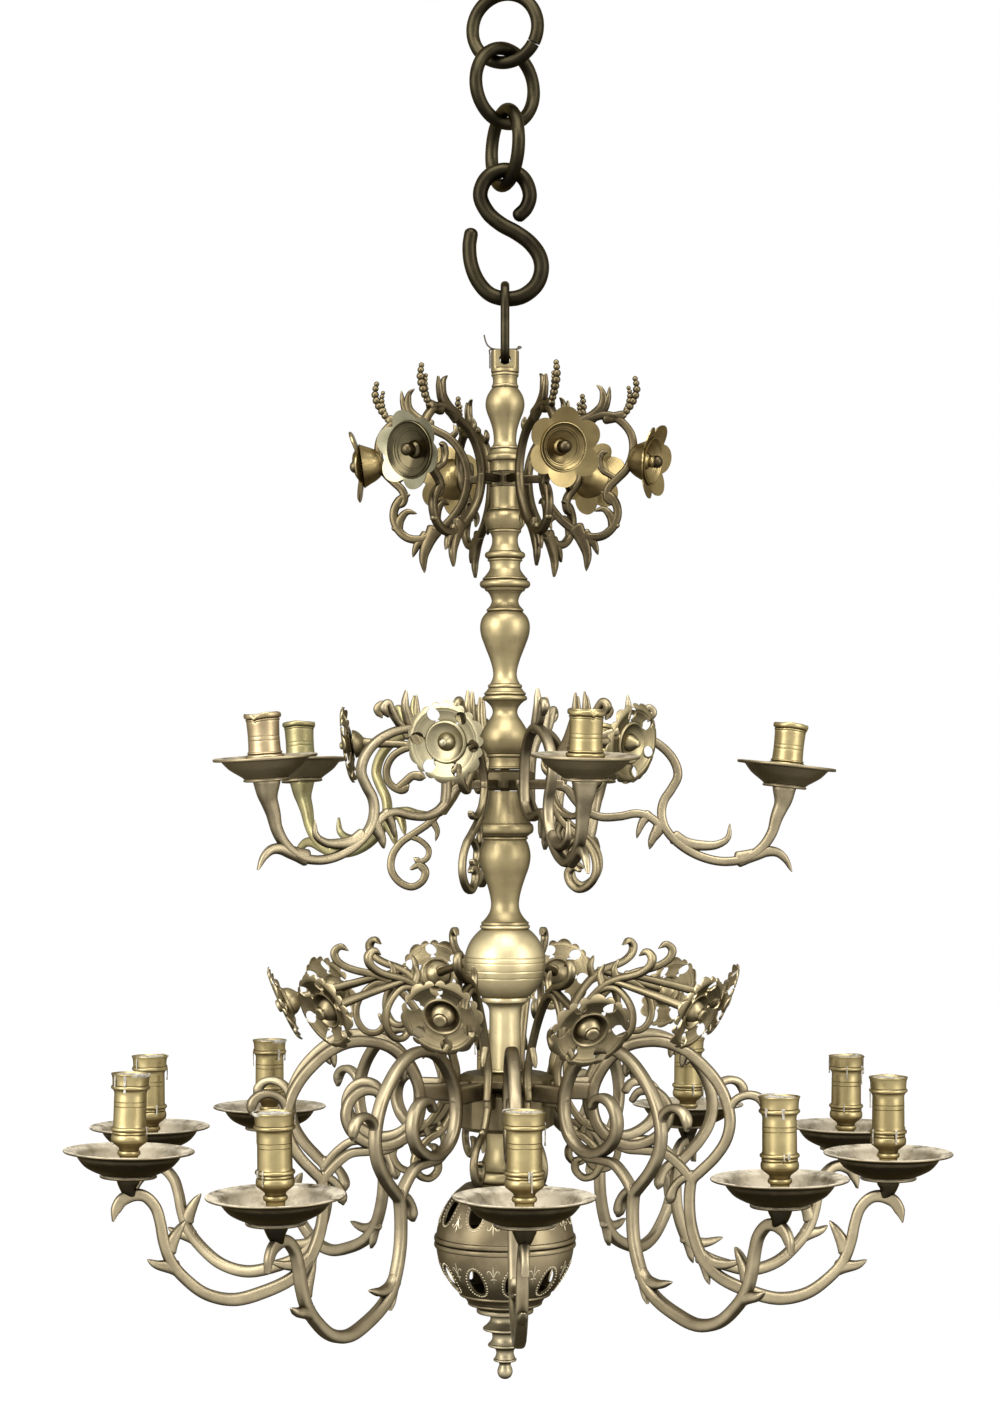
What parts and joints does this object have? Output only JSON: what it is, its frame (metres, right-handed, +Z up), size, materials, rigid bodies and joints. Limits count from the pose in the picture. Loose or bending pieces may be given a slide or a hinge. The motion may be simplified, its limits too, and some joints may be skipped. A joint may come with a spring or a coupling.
{
  "type": "brass candle chandelier",
  "caption": "Hanging brass candle chandelier in three tiers: scrolled candle arms with drip pans, flower branches, a turned shaft with a pierced globe, and a chain with an S hook.",
  "frame": {"origin": "inside crown of the top link, where the ceiling hook bears", "axes": "+Z up along the shaft; the picture looks along +Y with +X to its right; the S hook lies in the XZ plane"},
  "size_m": [0.9836, 1.019, 1.5999],
  "materials": {
    "arm_brass": "aged satin, grey-brown in the hollows",
    "cup_brass": "satin, brighter on the cup than on the dusty pan",
    "flower_brass": "aged satin",
    "chain_brass": "dark, rubbed on the bearing faces",
    "shaft_brass": "turned, worn satin",
    "iron": "dull wrought iron"
  },
  "bodies": {
    "top_link": {"chain_link_top": "chain_brass"},
    "middle_link": {"chain_link_middle": "chain_brass"},
    "lower_link": {"chain_link_lower": "chain_brass"},
    "hook": {"s_hook": "chain_brass"},
    "loop": {"suspension_loop": "chain_brass"},
    "chandelier": {"head_baluster": "shaft_brass", "top_collar": "shaft_brass", "upper_baluster": "shaft_brass", "vase_baluster": "shaft_brass", "middle_collar": "shaft_brass", "pear_baluster": "shaft_brass", "ball_baluster": "shaft_brass", "lower_collar_top_with_flowers": "flower_brass", "lower_collar_base_with_flowers": "flower_brass", "lower_spindle": "shaft_brass", "globe_upper": "shaft_brass", "globe_lower": "shaft_brass", "finial": "shaft_brass", "tie_rod": "iron", "top_flower_branch_1": "flower_brass", "top_flower_branch_2": "flower_brass", "top_flower_branch_3": "flower_brass", "top_flower_branch_4": "flower_brass", "top_flower_branch_5": "flower_brass", "top_flower_branch_6": "flower_brass", "middle_arm_1": "arm_brass", "middle_pan_1": "cup_brass", "middle_arm_2": "arm_brass", "middle_pan_2": "cup_brass", "middle_arm_3": "arm_brass", "middle_pan_3": "cup_brass", "middle_arm_4": "arm_brass", "middle_pan_4": "cup_brass", "middle_arm_5": "arm_brass", "middle_pan_5": "cup_brass", "middle_flower_branch_1": "flower_brass", "middle_flower_branch_2": "flower_brass", "middle_flower_branch_3": "flower_brass", "middle_flower_branch_4": "flower_brass", "middle_flower_branch_5": "flower_brass", "lower_arm_1": "arm_brass", "lower_pan_1": "cup_brass", "lower_arm_2": "arm_brass", "lower_pan_2": "cup_brass", "lower_arm_3": "arm_brass", "lower_pan_3": "cup_brass", "lower_arm_4": "arm_brass", "lower_pan_4": "cup_brass", "lower_arm_5": "arm_brass", "lower_pan_5": "cup_brass", "lower_arm_6": "arm_brass", "lower_pan_6": "cup_brass", "lower_arm_7": "arm_brass", "lower_pan_7": "cup_brass", "lower_arm_8": "arm_brass", "lower_pan_8": "cup_brass", "lower_arm_9": "arm_brass", "lower_pan_9": "cup_brass", "lower_arm_10": "arm_brass", "lower_pan_10": "cup_brass"}
  },
  "joints": [
    {"name": "middle_link_swing", "type": "hinge", "parent": "top_link", "child": "middle_link", "pos_m": [0, 0, -0.0705], "axis": [0.9613, -0.2756, 0], "range_deg": [-60, 60]},
    {"name": "lower_link_swing", "type": "hinge", "parent": "middle_link", "child": "lower_link", "pos_m": [0, 0, -0.14105], "axis": [0.766, 0.6428, 0], "range_deg": [-60, 60]},
    {"name": "hook_swing", "type": "hinge", "parent": "lower_link", "child": "hook", "pos_m": [0, 0, -0.21185], "axis": [0.3584, -0.9336, 0], "range_deg": [-60, 60]},
    {"name": "loop_swing", "type": "hinge", "parent": "hook", "child": "loop", "pos_m": [0, 0, -0.3424], "axis": [1, 0, 0], "range_deg": [-50, 50]},
    {"name": "chandelier_swing", "type": "hinge", "parent": "loop", "child": "chandelier", "pos_m": [0, 0, -0.4122], "axis": [0, 1, 0], "range_deg": [-45, 45]}
  ]
}
